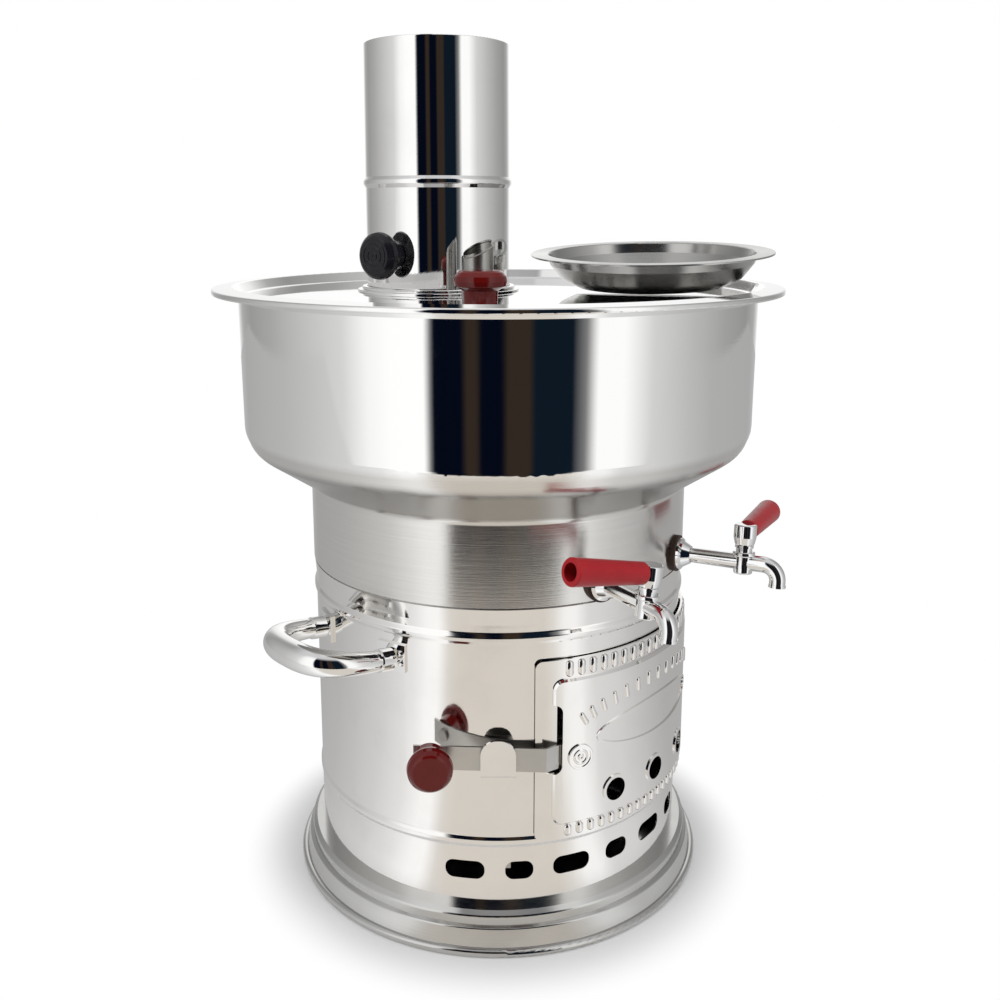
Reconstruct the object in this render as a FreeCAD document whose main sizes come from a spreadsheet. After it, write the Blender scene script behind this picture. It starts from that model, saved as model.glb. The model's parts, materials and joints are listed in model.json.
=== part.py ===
import FreeCAD, Part
import Sketcher
import math
import os

# A wood-fired samovar: a firebox standing in an ash tray, a water tank that sits
# on the firebox, a flue with its chimney, two plug taps, and a latched fire door.
# Millimetres. Origin on the floor under the middle of the firebox, +Z up.
# Angles round the body are counted from -Y (the side that faces the viewer)
# towards +X, so that 0 is the front, 90 is +X and -90 is -X.

doc = FreeCAD.newDocument("samovar")
sheet = doc.addObject("Spreadsheet::Sheet", "Sizes")

SIZES = [
    # ash tray that carries the firebox
    ("tray_rim_radius", 129.8), ("tray_rim_height", 4.8), ("tray_skirt_radius", 126.9),
    ("tray_step_radius", 124.4), ("tray_step_height", 14.8), ("tray_neck_radius", 122.4),
    ("tray_shoulder_height", 21.0), ("tray_ledge_radius", 119.8), ("tray_ledge_height", 23.5),
    ("tray_gauge", 1.0), ("tray_fit", 0.6), ("tray_lip", 3.0),
    # firebox
    ("firebox_radius", 115.0), ("firebox_gauge", 1.0), ("firebox_top", 199.8),
    ("low_bead_height", 62.7), ("low_bead_rise", 0.9), ("high_bead_height", 183.0),
    ("high_bead_rise", 1.2), ("bead_half_width", 3.4), ("collar_rise", 0.7),
    ("collar_foot", 191.0),
    ("air_slot_height", 45.0), ("air_slot_tall", 11.0), ("air_slot_long", 22.5),
    ("air_slot_short", 16.0), ("air_slot_first", -9.45), ("air_slot_pitch", 15.4),
    ("air_slot_count", 9), ("air_slot_corner", 4.9),
    # grate
    ("grate_radius", 111.3), ("grate_height", 58.0), ("grate_gauge", 2.5),
    ("grate_slot_count", 14), ("grate_slot_width", 8.0), ("grate_slot_start", 34.0),
    ("grate_slot_end", 98.0), ("grate_hub_hole", 9.0), ("grate_lug_width", 14.0),
    ("grate_lug_reach", 10.0), ("grate_lug_gauge", 2.0),
    # fire door
    ("door_left", 10.0), ("door_right", 93.0), ("door_low", 63.4), ("door_high", 170.0),
    ("door_gap", 1.0), ("door_gauge", 1.2), ("panel_left", 14.8), ("panel_right", 88.2),
    ("panel_low", 72.0), ("panel_high", 158.8), ("panel_rise", 2.0), ("panel_corner", 6.0),
    ("mouth_left", 16.4), ("mouth_right", 87.0), ("mouth_low", 70.0), ("mouth_high", 163.0),
    ("flute_pitch", 3.55), ("flute_count", 19), ("flute_radius", 1.5), ("flute_rise", 0.75),
    ("flute_margin", 1.7), ("flute_first", 19.5),
    ("peep_height", 86.5), ("peep_radius", 6.8), ("peep_rim", 1.9), ("peep_rim_rise", 0.8),
    ("peep_first", 34.0), ("peep_second", 50.9), ("peep_third", 68.9),
    ("oval_angle", 51.6), ("oval_height", 121.8), ("oval_half_width", 49.0),
    ("oval_half_height", 12.2), ("oval_band", 2.2), ("oval_rise", 0.8),
    # door hinges
    ("hinge_angle", 95.6), ("hinge_axis_radius", 119.6), ("hinge_pin_radius", 1.6),
    ("hinge_knuckle_radius", 3.2), ("hinge_pin_play", 0.08), ("hinge_length", 30.0),
    ("hinge_low", 88.0), ("hinge_high", 145.0), ("hinge_leaf_width", 12.0),
    ("hinge_leaf_gauge", 1.2), ("hinge_end_play", 0.4),
    # latch
    ("latch_slot_left", 11.9), ("latch_slot_right", 17.4), ("latch_slot_low", 103.6),
    ("latch_slot_high", 144.7), ("latch_pivot_angle", 22.5), ("latch_pivot_height", 112.3),
    ("latch_bar_width", 13.8), ("latch_bar_gauge", 1.3), ("latch_bar_slope", 4.4),
    ("latch_bar_radius", 116.3), ("latch_bend_in", 16.9), ("latch_bend_out", 12.6),
    ("latch_out_radius", 120.5), ("latch_reach", 46.0), ("latch_end_y", 123.4),
    ("latch_pin_radius", 2.6), ("latch_pin_play", 0.1), ("latch_head_radius", 7.5),
    ("latch_head_rise", 1.1), ("latch_head_rim", 1.3), ("latch_head_dish", 0.5),
    ("latch_tail", 9.0),
    ("keeper_width", 19.4), ("keeper_low", 106.3), ("keeper_high", 128.0),
    ("keeper_gauge", 1.4), ("keeper_reach", 123.2), ("keeper_foot", 11.0),
    # mushroom knobs
    ("knob_radius", 14.0), ("knob_height", 18.0), ("knob_foot_radius", 8.8),
    ("knob_neck_radius", 9.2), ("knob_screw_radius", 2.0),
    ("knob_screw_head", 3.8), ("knob_screw_depth", 9.0), ("knob_screw_head_height", 2.0),
    ("latch_knob_x", -37.3), ("latch_knob_radius", 12.5),
    # side handles
    ("grip_left_angle", -46.7), ("grip_right_angle", 142.0), ("grip_half_span", 32.5),
    ("grip_root_radius", 119.0), ("grip_reach", 37.6), ("grip_drop", 16.1),
    ("grip_tilt", 8.3), ("grip_fullness", 2.7), ("grip_end_radius", 5.4),
    ("grip_middle_radius", 7.8), ("bracket_gauge", 1.6), ("bracket_height", 16.0),
    ("bracket_wrap", 4.6), ("bracket_reach", 10.0), ("rivet_radius", 1.5),
    ("rivet_head_radius", 2.2), ("rivet_head_rise", 1.2), ("rivet_spacing", 5.4),
    # water tank
    ("neck_radius", 116.0), ("tank_gauge", 1.0), ("neck_low", 201.0), ("cone_low", 249.0),
    ("cone_high", 271.5), ("cone_radius", 150.0), ("bowl_radius_low", 154.3),
    ("bowl_low", 282.0), ("bowl_radius", 155.0), ("bowl_corner", 14.0),
    ("plate_top", 360.5), ("plate_gauge", 1.0), ("floor_top", 204.0), ("floor_gauge", 1.2),
    ("spigot_fit", 0.6), ("spigot_depth", 11.8), ("seam_inset", 0.4),
    ("recess_inset", 0.8), ("crest_reach", 3.0), ("crest_height", 366.9),
    ("brim_reach", 15.0), ("brim_top", 365.8), ("brim_lip", 3.0), ("brim_round", 1.3),
    # flue and chimney
    ("flue_x", -37.8), ("flue_y", 28.7), ("flue_radius", 43.4), ("flue_gauge", 1.0),
    ("flue_top", 375.0), ("chimney_fit", 0.6), ("chimney_gauge", 1.0),
    ("chimney_top", 509.0), ("chimney_taper", 0.5), ("chimney_bead", 426.7),
    ("chimney_bead_rise", 1.4), ("chimney_bead_half", 3.4), ("collar_radius", 51.3),
    ("collar_step_radius", 48.4), ("collar_flange", 1.2), ("collar_height", 3.1),
    ("collar_play", 0.4), ("chimney_knob_angle", -34.0), ("chimney_knob_height", 383.5),
    # filler, vent and dish
    ("filler_x", -9.2), ("filler_y", -100.0), ("filler_hole", 16.0), ("lid_radius", 20.0),
    ("lid_gauge", 1.0), ("lid_skirt_depth", 9.0), ("lid_skirt_fit", 0.5),
    ("vent_x", -11.6), ("vent_y", -52.0), ("vent_radius", 9.0), ("vent_gauge", 1.0),
    ("vent_top", 389.0), ("vent_lean_side", 21.0), ("vent_lean_front", 14.0),
    ("vent_lip", 1.4), ("vent_depth", 4.0),
    ("dish_x", 97.0), ("dish_y", 26.0), ("dish_bottom_radius", 50.0), ("dish_radius", 66.0),
    ("dish_flange_radius", 76.0), ("dish_height", 20.5), ("dish_gauge", 1.0),
    ("dish_tilt", 3.6), ("dish_tilt_angle", 160.0), ("dish_lift", 3.5),
    # taps
    ("tap_left_angle", 29.1), ("tap_right_angle", 64.9), ("tap_height", 210.6),
    ("tap_stem_radius", 156.4), ("tap_gasket_radius", 10.7), ("tap_gasket_gauge", 2.2),
    ("tap_shank_radius", 4.8), ("tap_shank_play", 0.2), ("tap_shank_inner", 103.5),
    ("tap_flange_radius", 9.3), ("tap_flange_gauge", 1.8), ("tap_cone_length", 5.5),
    ("tap_pipe_radius", 4.3), ("tap_bore_radius", 2.5), ("tap_barrel_radius", 5.4),
    ("tap_barrel_depth", 6.6), ("tap_shoulder_radius", 6.4), ("tap_shoulder_height", 3.6),
    ("tap_shoulder_gauge", 2.8), ("tap_throat_radius", 4.6), ("tap_throat_top", 10.2),
    ("tap_spout_radius", 4.6), ("tap_spout_bore", 3.4), ("tap_spout_bend", 8.4),
    ("tap_spout_reach", 20.0), ("tap_spout_drop", 12.0), ("tap_plug_radius", 3.3),
    ("tap_plug_play", 0.06), ("tap_plug_depth", 5.0), ("tap_cap_gap", 0.5),
    ("tap_cap_radius", 6.5), ("tap_cap_height", 11.4), ("tap_lever_height", 17.2),
    ("tap_lever_start", 5.0), ("tap_lever_length", 54.0), ("tap_lever_root", 5.9),
    ("tap_lever_end", 7.3), ("tap_lever_bore", 4.7), ("tap_lever_bore_depth", 14.0),
    ("tap_rod_radius", 2.6), ("tap_rod_end", 38.0), ("tap_left_turn", -83.7),
    ("tap_right_turn", 87.0), ("tap_roll", 6.3), ("tap_lever_rise", 5.7), ("tap_nut_size", 6.4), ("tap_nut_height", 4.5),
]
for row, (alias, value) in enumerate(SIZES, start=1):
    sheet.set("A%d" % row, alias)
    sheet.set("B%d" % row, "%g" % value)
    sheet.setAlias("B%d" % row, alias)
doc.recompute()

V = FreeCAD.Vector


def size(alias):
    """A size read back from the sheet."""
    return float(sheet.get(alias))


def bound(expression):
    """Turn plain alias names in an expression into cell references."""
    out, word = "", ""
    for char in expression + " ":
        if char.isalnum() or char == "_":
            word += char
            continue
        out += "Sizes." + word if word[:1].isalpha() else word
        word = ""
        out += char
    return out.strip()


def worked_out(expression):
    """The number that an expression of alias names comes to, for + - * / and brackets."""
    text = expression.replace(" ", "")

    def total(at):
        value, at = product(at)
        while at < len(text) and text[at] in "+-":
            sign = text[at]
            other, at = product(at + 1)
            value = value + other if sign == "+" else value - other
        return value, at

    def product(at):
        value, at = term(at)
        while at < len(text) and text[at] in "*/":
            sign = text[at]
            other, at = term(at + 1)
            value = value * other if sign == "*" else value / other
        return value, at

    def term(at):
        if text[at] == "(":
            value, at = total(at + 1)
            return value, at + 1
        if text[at] == "-":
            value, at = term(at + 1)
            return -value, at
        end = at
        while end < len(text) and (text[end].isalnum() or text[end] in "_."):
            end += 1
        word = text[at:end]
        return (size(word) if word[0].isalpha() else float(word)), end

    return total(0)[0]


def around(angle, radius, height=0.0):
    """A point at an angle round the body."""
    turn = math.radians(angle)
    return V(radius * math.sin(turn), -radius * math.cos(turn), height)


def outward(angle):
    return around(angle, 1.0)


def facing(direction, base):
    """A placement whose own +Z points along a direction."""
    return FreeCAD.Placement(base, FreeCAD.Rotation(V(0, 0, 1), direction))


def body_plane(body, role):
    for feature in body.Origin.OriginFeatures:
        if feature.Role == role:
            return feature


def turned(name, points, rounds=(), base=None):
    """A body turned about its own Z axis from a closed profile of (radius, height)
    expressions. rounds lists (point number, radius expression) for rounded rings."""
    body = doc.addObject("PartDesign::Body", name + "_body")
    sketch = body.newObject("Sketcher::SketchObject", name + "_profile")
    sketch.AttachmentSupport = [(body_plane(body, "XZ_Plane"), "")]
    sketch.MapMode = "FlatFace"
    spots = [(worked_out(r), worked_out(z)) for r, z in points]
    count = len(spots)
    for i in range(count):
        (r0, z0), (r1, z1) = spots[i], spots[(i + 1) % count]
        sketch.addGeometry(Part.LineSegment(V(r0, z0, 0), V(r1, z1, 0)), False)
    for i in range(count):
        sketch.addConstraint(Sketcher.Constraint("Coincident", i, 2, (i + 1) % count, 1))
    for i, (r, z) in enumerate(points):
        for kind, text, value, axis in (("DistanceX", r, spots[i][0], -2),
                                        ("DistanceY", z, spots[i][1], -1)):
            if text == "0":
                sketch.addConstraint(Sketcher.Constraint("PointOnObject", i, 1, axis))
                continue
            at = sketch.addConstraint(Sketcher.Constraint(kind, -1, 1, i, 1, value))
            label = "%s_%d" % ("r" if kind == "DistanceX" else "z", i)
            sketch.renameConstraint(at, label)
            sketch.setExpression("Constraints." + label, bound(text))
    doc.recompute()
    spin = body.newObject("PartDesign::Revolution", name + "_turn")
    spin.Profile = sketch
    spin.ReferenceAxis = (sketch, ["V_Axis"])
    spin.Angle = 360.0
    doc.recompute()
    body.Tip = spin
    for number, text in rounds:
        r, z = spots[number]
        names = []
        last = body.Tip
        for k, edge in enumerate(body.Tip.Shape.Edges, start=1):
            if isinstance(edge.Curve, Part.Circle) and abs(edge.Curve.Radius - r) < 1e-4 \
                    and abs(edge.Curve.Center.z - z) < 1e-4:
                names.append("Edge%d" % k)
        fillet = body.newObject("PartDesign::Fillet", "%s_round_%d" % (name, number))
        fillet.Base = (last, names)
        fillet.setExpression("Radius", bound(text))
        doc.recompute()
        body.Tip = fillet
    if base is not None:
        body.Placement = base
    return body


def cylinder(name, radius, height, placement):
    item = doc.addObject("Part::Cylinder", name)
    item.setExpression("Radius", bound(radius))
    item.setExpression("Height", bound(height))
    item.Placement = placement
    return item


def cut(name, base, *tools):
    result = base
    for number, tool in enumerate(tools):
        last = number == len(tools) - 1
        item = doc.addObject("Part::Cut", name if last else "%s_cut_%d" % (name, number))
        item.Base = result
        item.Tool = tool
        result = item
    return result


def shaped(name, shape):
    """A piece whose form is worked out here from the sheet's sizes."""
    item = doc.addObject("Part::Feature", name)
    item.Shape = shape
    return item


def joined(parts):
    result = parts[0].fuse(parts[1:]) if len(parts) > 1 else parts[0]
    return result.removeSplitter()


def ring_sector(inner, outer, low, high, left, right):
    """A piece of a cylindrical wall between two angles."""
    face = Part.Face(Part.makePolygon([V(inner, 0, low), V(outer, 0, low), V(outer, 0, high),
                                       V(inner, 0, high), V(inner, 0, low)]))
    face.rotate(V(0, 0, 0), V(0, 0, 1), left - 90.0)
    return face.revolve(V(0, 0, 0), V(0, 0, 1), right - left)


def pill(width, tall, corner, depth, angle, height, start):
    """A rounded block that points outwards at an angle, for openings in a curved wall."""
    block = Part.makeBox(width, tall, depth, V(-width / 2, -tall / 2, 0))
    block = block.makeFillet(corner, [e for e in block.Edges
                                      if abs(e.tangentAt(e.FirstParameter).z) > 0.9])
    # local X along the wall, local Y up, local Z outwards
    turn = FreeCAD.Rotation(outward(angle).cross(V(0, 0, -1)), V(0, 0, 1), outward(angle),
                            "ZYX")
    block.Placement = FreeCAD.Placement(around(angle, start, height), turn)
    return block


# Ash tray.
tray = turned("base_tray", [
    ("0", "0"),
    ("firebox_radius - firebox_gauge - tray_fit", "0"),
    ("firebox_radius - firebox_gauge - tray_fit", "tray_ledge_height - tray_gauge"),
    ("tray_ledge_radius - tray_gauge", "tray_ledge_height - tray_gauge"),
    ("tray_neck_radius - tray_gauge", "tray_shoulder_height - tray_gauge"),
    ("tray_neck_radius - tray_gauge", "tray_step_height"),
    ("tray_step_radius - tray_gauge", "tray_step_height - tray_gauge"),
    ("tray_skirt_radius - tray_gauge", "tray_rim_height"),
    ("tray_skirt_radius - tray_gauge", "0"),
    ("tray_rim_radius", "0"),
    ("tray_rim_radius", "tray_rim_height"),
    ("tray_skirt_radius", "tray_rim_height"),
    ("tray_step_radius", "tray_step_height"),
    ("tray_neck_radius", "tray_step_height + tray_gauge"),
    ("tray_neck_radius", "tray_shoulder_height"),
    ("tray_ledge_radius", "tray_ledge_height"),
    ("firebox_radius - firebox_gauge - tray_fit", "tray_ledge_height"),
    ("firebox_radius - firebox_gauge - tray_fit", "tray_ledge_height + tray_lip"),
    ("firebox_radius - firebox_gauge - tray_fit - tray_gauge", "tray_ledge_height + tray_lip"),
    ("firebox_radius - firebox_gauge - tray_fit - tray_gauge", "tray_gauge"),
    ("0", "tray_gauge"),
], rounds=[(10, "tray_rim_height * 0.45"), (9, "tray_rim_height * 0.4"),
           (14, "1.6"), (12, "0.9")])
tray.Label = "base_tray"

# Firebox shell with its two beads, the flared collar under the tank, the nine air
# slots, the door mouth and the slit for the latch keeper.
shell_turn = turned("firebox_wall", [
    ("firebox_radius - firebox_gauge", "tray_ledge_height"),
    ("firebox_radius", "tray_ledge_height"),
    ("firebox_radius", "low_bead_height - bead_half_width"),
    ("firebox_radius + low_bead_rise", "low_bead_height - 1"),
    ("firebox_radius + low_bead_rise", "low_bead_height + 1"),
    ("firebox_radius", "low_bead_height + bead_half_width"),
    ("firebox_radius", "high_bead_height - bead_half_width"),
    ("firebox_radius + high_bead_rise", "high_bead_height - 1"),
    ("firebox_radius + high_bead_rise", "high_bead_height + 1"),
    ("firebox_radius", "high_bead_height + bead_half_width"),
    ("firebox_radius", "collar_foot"),
    ("firebox_radius + collar_rise", "firebox_top"),
    ("firebox_radius - firebox_gauge", "firebox_top"),
], rounds=[(3, "1.4"), (4, "1.4"), (7, "1.4"), (8, "1.4"), (2, "2"), (5, "2"), (6, "2"), (9, "2")])
openings = []
for k in range(int(size("air_slot_count"))):
    angle = size("air_slot_first") + k * size("air_slot_pitch")
    width = size("air_slot_long") if k % 2 == 0 else size("air_slot_short")
    openings.append(pill(width, size("air_slot_tall"), size("air_slot_corner"), 20.0, angle,
                         size("air_slot_height"), size("firebox_radius") - 10.0))
openings.append(ring_sector(size("firebox_radius") - 8, size("firebox_radius") + 8,
                            size("mouth_low"), size("mouth_high"),
                            size("mouth_left"), size("mouth_right")))
slit = size("keeper_width") + 0.2
openings.append(Part.makeBox(slit, 8.0, size("keeper_gauge") + 0.2,
                             V(-slit / 2, -size("firebox_radius") - 3.0,
                               size("keeper_low") - 0.1)))
shell_openings = shaped("firebox_openings", Part.makeCompound(openings))
shell = cut("firebox_shell", shell_turn, shell_openings)
shell.Label = "firebox_shell"

# Grate with radial slots, on three lugs.
grate_turn = turned("grate_disc", [
    ("grate_hub_hole", "grate_height"),
    ("grate_radius", "grate_height"),
    ("grate_radius", "grate_height + grate_gauge"),
    ("grate_hub_hole", "grate_height + grate_gauge"),
])
grate_slots = []
for k in range(int(size("grate_slot_count"))):
    long = size("grate_slot_end") - (size("grate_slot_start") if k % 2 == 0 else 58.0)
    wide = size("grate_slot_width")
    slot = Part.makeBox(long, wide, 10.0, V(-long / 2, -wide / 2, -5.0))
    slot = slot.makeFillet(wide * 0.45, [e for e in slot.Edges
                                         if abs(e.tangentAt(e.FirstParameter).z) > 0.9])
    slot.Placement = FreeCAD.Placement(
        around(k * 360.0 / size("grate_slot_count"), size("grate_slot_end") - long / 2,
               size("grate_height")),
        FreeCAD.Rotation(V(0, 0, 1), k * 360.0 / size("grate_slot_count") - 90.0))
    grate_slots.append(slot)
grate = cut("grate", grate_turn, shaped("grate_slots", Part.makeCompound(grate_slots)))
grate.Label = "grate"

lugs = []
for angle in (0.0, 130.0, -130.0):
    top = size("grate_height")
    inner = size("firebox_radius") - size("firebox_gauge")
    gauge = size("grate_lug_gauge")
    shelf = Part.makeBox(size("grate_lug_width"), size("grate_lug_reach"), gauge,
                         V(-size("grate_lug_width") / 2, -inner, top - gauge))
    leg = Part.makeBox(size("grate_lug_width"), gauge, 12.0,
                       V(-size("grate_lug_width") / 2, -inner, top - 12.0))
    lug = shelf.fuse(leg).common(Part.makeCylinder(inner, 80.0))
    lug.rotate(V(0, 0, 0), V(0, 0, 1), angle)
    lugs.append(lug.removeSplitter())
lug_group = shaped("grate_lugs", Part.makeCompound(lugs))
lug_group.Label = "grate_lugs"

# Fire door: a pressed panel that follows the firebox, with a raised field, fluted
# bands above and below it, three draught holes with turned-out rims, an oval bead
# and the slot that the latch bar comes through.
skin = size("firebox_radius") + size("door_gap")
face_r = skin + size("door_gauge")
field_r = face_r + size("panel_rise")
plate = ring_sector(skin, face_r, size("door_low"), size("door_high"),
                    size("door_left"), size("door_right"))
corner_edges = [e for e in plate.Edges if e.Length < size("door_gauge") + 0.1
                and abs(e.tangentAt(e.FirstParameter).z) < 0.1]
plate = plate.makeFillet(4.0, corner_edges)


def field(inner, outer, inset, corner):
    middle = (size("panel_left") + size("panel_right")) / 2
    half = math.radians((size("panel_right") - size("panel_left")) / 2)
    grow = math.degrees(inset / field_r)
    block = ring_sector(inner, outer, size("panel_low") + inset, size("panel_high") - inset,
                        size("panel_left") + grow, size("panel_right") - grow)
    edges = [e for e in block.Edges if abs(e.Length - (outer - inner)) < 0.01
             and abs(e.tangentAt(e.FirstParameter).z) < 0.1]
    return block.makeFillet(corner, edges)


block = field(skin, field_r, 0.0, size("panel_corner"))
rim = []
for edge in block.Edges:
    near = min(math.hypot(v.X, v.Y) for v in edge.Vertexes)
    if near > field_r - 0.01:
        rim.append(edge)
block = block.makeChamfer(size("panel_rise") * 0.6, rim)
hollow = field(skin - 1.0, field_r - size("door_gauge"), size("door_gauge"),
               size("panel_corner") - size("door_gauge"))
door = plate.fuse(block).cut(hollow)
flutes = []
for k in range(int(size("flute_count"))):
    angle = size("flute_first") + k * size("flute_pitch")
    for low, high in ((size("door_low"), size("panel_low")),
                      (size("panel_high"), size("door_high"))):
        margin = size("flute_margin")
        bar = Part.makeCylinder(size("flute_radius"), high - low - 2 * margin,
                                around(angle, face_r + size("flute_rise")
                                       - size("flute_radius"), low + margin))
        flutes.append(bar)
keep_out = Part.makeCylinder(skin + 0.3, 200.0)
door = door.fuse([bar.cut(keep_out) for bar in flutes])
oval_base = FreeCAD.Placement(around(size("oval_angle"), 70.0, size("oval_height")),
                              FreeCAD.Rotation(V(0, 0, 1), size("oval_angle") - 90.0))


def oval(half_width, half_height):
    """An oval column that points outwards through the raised field."""
    curve = Part.Ellipse(V(0, 0, 0), half_width, half_height)
    block = Part.Face(Part.Wire([curve.toShape()])).extrude(V(0, 0, 70.0))
    turn = FreeCAD.Rotation(outward(size("oval_angle")).cross(V(0, 0, -1)), V(0, 0, 1),
                            outward(size("oval_angle")), "ZYX")
    block.Placement = FreeCAD.Placement(around(size("oval_angle"), 60.0,
                                               size("oval_height")), turn)
    return block


field_skin = ring_sector(field_r - 0.4, field_r + size("oval_rise"), size("panel_low") + 4,
                         size("panel_high") - 4, size("panel_left") + 4,
                         size("panel_right") - 4)
bead = oval(size("oval_half_width"), size("oval_half_height")).cut(
    oval(size("oval_half_width") - size("oval_band"),
         size("oval_half_height") - size("oval_band"))).common(field_skin)
door = door.fuse(bead)
peeps = [size("peep_first"), size("peep_second"), size("peep_third")]
for angle in peeps:
    rim_disc = Part.makeCylinder(size("peep_radius") + size("peep_rim"), 30.0,
                                 around(angle, field_r - 15.0, size("peep_height")),
                                 outward(angle))
    door = door.fuse(rim_disc.common(ring_sector(
        field_r - 0.4, field_r + size("peep_rim_rise"), size("panel_low") + 2,
        size("panel_high"), angle - 8, angle + 8)))
holes = [Part.makeCylinder(size("peep_radius"), 40.0,
                           around(angle, field_r - 20.0, size("peep_height")),
                           outward(angle)) for angle in peeps]
slot_middle = (size("latch_slot_left") + size("latch_slot_right")) / 2
slot_wide = math.radians(size("latch_slot_right") - size("latch_slot_left")) * face_r
slot_tall = size("latch_slot_high") - size("latch_slot_low")
holes.append(pill(slot_wide, slot_tall, slot_wide * 0.44, 30.0, slot_middle,
                  size("latch_slot_low") + slot_tall / 2, face_r - 15.0))
holes.append(Part.makeCylinder(size("latch_pin_radius"), 40.0,
                               around(size("latch_pivot_angle"), field_r - 20.0,
                                      size("latch_pivot_height")),
                               outward(size("latch_pivot_angle"))))
door = door.cut(holes)
door_panel = shaped("door_panel", door.removeSplitter())
door_panel.Label = "door_panel"

# Two hinges at the right edge of the door: a leaf on the shell with the two outer
# knuckles, a leaf on the door with the middle one, and a pin through the three.
axis_at = around(size("hinge_angle"), size("hinge_axis_radius"))
shell_leaves, door_leaves, pins = [], [], []
for middle in (size("hinge_low"), size("hinge_high")):
    long = size("hinge_length")
    low = middle - long / 2
    third = long / 3
    play = size("hinge_end_play")
    bore = Part.makeCylinder(size("hinge_pin_radius") + size("hinge_pin_play"), long + 2,
                             V(axis_at.x, axis_at.y, low - 1))
    wrap = math.degrees(size("hinge_leaf_width") / size("firebox_radius"))
    r0 = size("firebox_radius")
    leaf = ring_sector(r0, r0 + size("hinge_leaf_gauge"), low, low + long,
                       size("hinge_angle") - 0.2, size("hinge_angle") + wrap)
    room = Part.makeCylinder(size("hinge_knuckle_radius") + 0.4, third + 2 * play,
                             V(axis_at.x, axis_at.y, low + third - play))
    knuckles = [Part.makeCylinder(size("hinge_knuckle_radius"), third - play / 2,
                                  V(axis_at.x, axis_at.y, low)),
                Part.makeCylinder(size("hinge_knuckle_radius"), third - play / 2,
                                  V(axis_at.x, axis_at.y, low + 2 * third + play / 2))]
    inside = Part.makeCylinder(r0, 400.0)
    shell_leaves.append(leaf.fuse(knuckles).cut([bore, room, inside]).removeSplitter())
    d0 = face_r
    strap = ring_sector(d0, d0 + size("hinge_leaf_gauge"), low + third + play / 2,
                        low + 2 * third - play / 2, size("door_right") - wrap * 0.75,
                        size("hinge_angle"))
    middle_knuckle = Part.makeCylinder(size("hinge_knuckle_radius"), third - play,
                                       V(axis_at.x, axis_at.y, low + third + play / 2))
    door_leaves.append(strap.fuse(middle_knuckle).cut(
        [bore, Part.makeCylinder(r0 + 0.9, 400.0)]).removeSplitter())
    pin = Part.makeCylinder(size("hinge_pin_radius"), long + 2.4,
                            V(axis_at.x, axis_at.y, low - 1.2))
    head = Part.makeCylinder(size("hinge_pin_radius") + 0.8, 1.2,
                             V(axis_at.x, axis_at.y, low + long))
    foot = Part.makeCylinder(size("hinge_pin_radius") + 0.8, 1.2,
                             V(axis_at.x, axis_at.y, low - 1.2))
    pins.append(pin.fuse([head, foot]).removeSplitter())
for label, solids in (("hinge_shell_leaves", shell_leaves),
                      ("hinge_door_leaves", door_leaves), ("hinge_pins", pins)):
    shaped(label, Part.makeCompound(solids)).Label = label

# Latch: a strip that is bent out through the slot and drops into the keeper.
pivot = around(size("latch_pivot_angle"), size("latch_bar_radius"), size("latch_pivot_height"))
out_dir = outward(size("latch_pivot_angle"))
left_dir = V(out_dir.y, -out_dir.x, 0)
bend_in = around(size("latch_bend_in"), size("latch_bar_radius"))
bend_out = around(size("latch_bend_out"), size("latch_out_radius"))
tip = V(-size("latch_reach"), -size("latch_end_y"), 0)
tail = V(pivot.x, pivot.y, 0) - left_dir * size("latch_tail")
route = [tail, bend_in, bend_out, tip]
half = size("latch_bar_gauge") / 2


def offset_route(points, shift):
    """The route moved sideways by a set distance, with mitred corners."""
    out = []
    for i, point in enumerate(points):
        before = (points[i] - points[i - 1]).normalize() if i else None
        after = (points[i + 1] - points[i]).normalize() if i < len(points) - 1 else None
        if before is None or after is None:
            along = after or before
            out.append(point + V(-along.y, along.x, 0) * shift)
            continue
        mean = (V(-before.y, before.x, 0) + V(-after.y, after.x, 0)).normalize()
        out.append(point + mean * (shift / mean.dot(V(-before.y, before.x, 0))))
    return out


loop = offset_route(route, half) + offset_route(route, -half)[::-1]
strip = Part.Face(Part.makePolygon(loop + [loop[0]])).extrude(V(0, 0, 200.0))
side = Part.makeBox(140.0, size("latch_bar_width"), 90.0,
                    V(-size("latch_tail"), -size("latch_bar_width") / 2, -60.0))
side_ends = [e for e in side.Edges if abs(e.tangentAt(e.FirstParameter).z) > 0.9
             and e.Vertexes[0].X < 0]
side = side.makeFillet(size("latch_bar_width") * 0.48, side_ends)
frame_turn = FreeCAD.Rotation(left_dir, V(0, 0, 1), left_dir.cross(V(0, 0, 1)), "ZXY")
tilt = FreeCAD.Rotation(V(0, 0, 1), size("latch_bar_slope"))
side.Placement = FreeCAD.Placement(pivot, frame_turn.multiply(tilt))
bar = strip.common(side)
end_ball = Part.makeCylinder(size("latch_pin_radius") + size("latch_pin_play"), 30.0,
                             pivot - out_dir * 15.0, out_dir)
knob_out = V(tip.y - bend_out.y, -(tip.x - bend_out.x), 0).normalize()
if knob_out.y > 0:
    knob_out = knob_out * -1.0
along = (tip - bend_out).normalize()
reach = (size("latch_knob_x") - bend_out.x) / along.x
knob_spot = bend_out + along * reach
rise = math.tan(math.radians(size("latch_bar_slope"))) * (knob_spot - pivot).dot(left_dir)
knob_spot = V(knob_spot.x, knob_spot.y, pivot.z + rise)
screw_hole = Part.makeCylinder(size("knob_screw_radius"), 20.0, knob_spot - knob_out * 10.0,
                               knob_out)
latch_bar = shaped("latch_bar", bar.cut([end_ball, screw_hole]).removeSplitter())
latch_bar.Label = "latch_bar"

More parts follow.
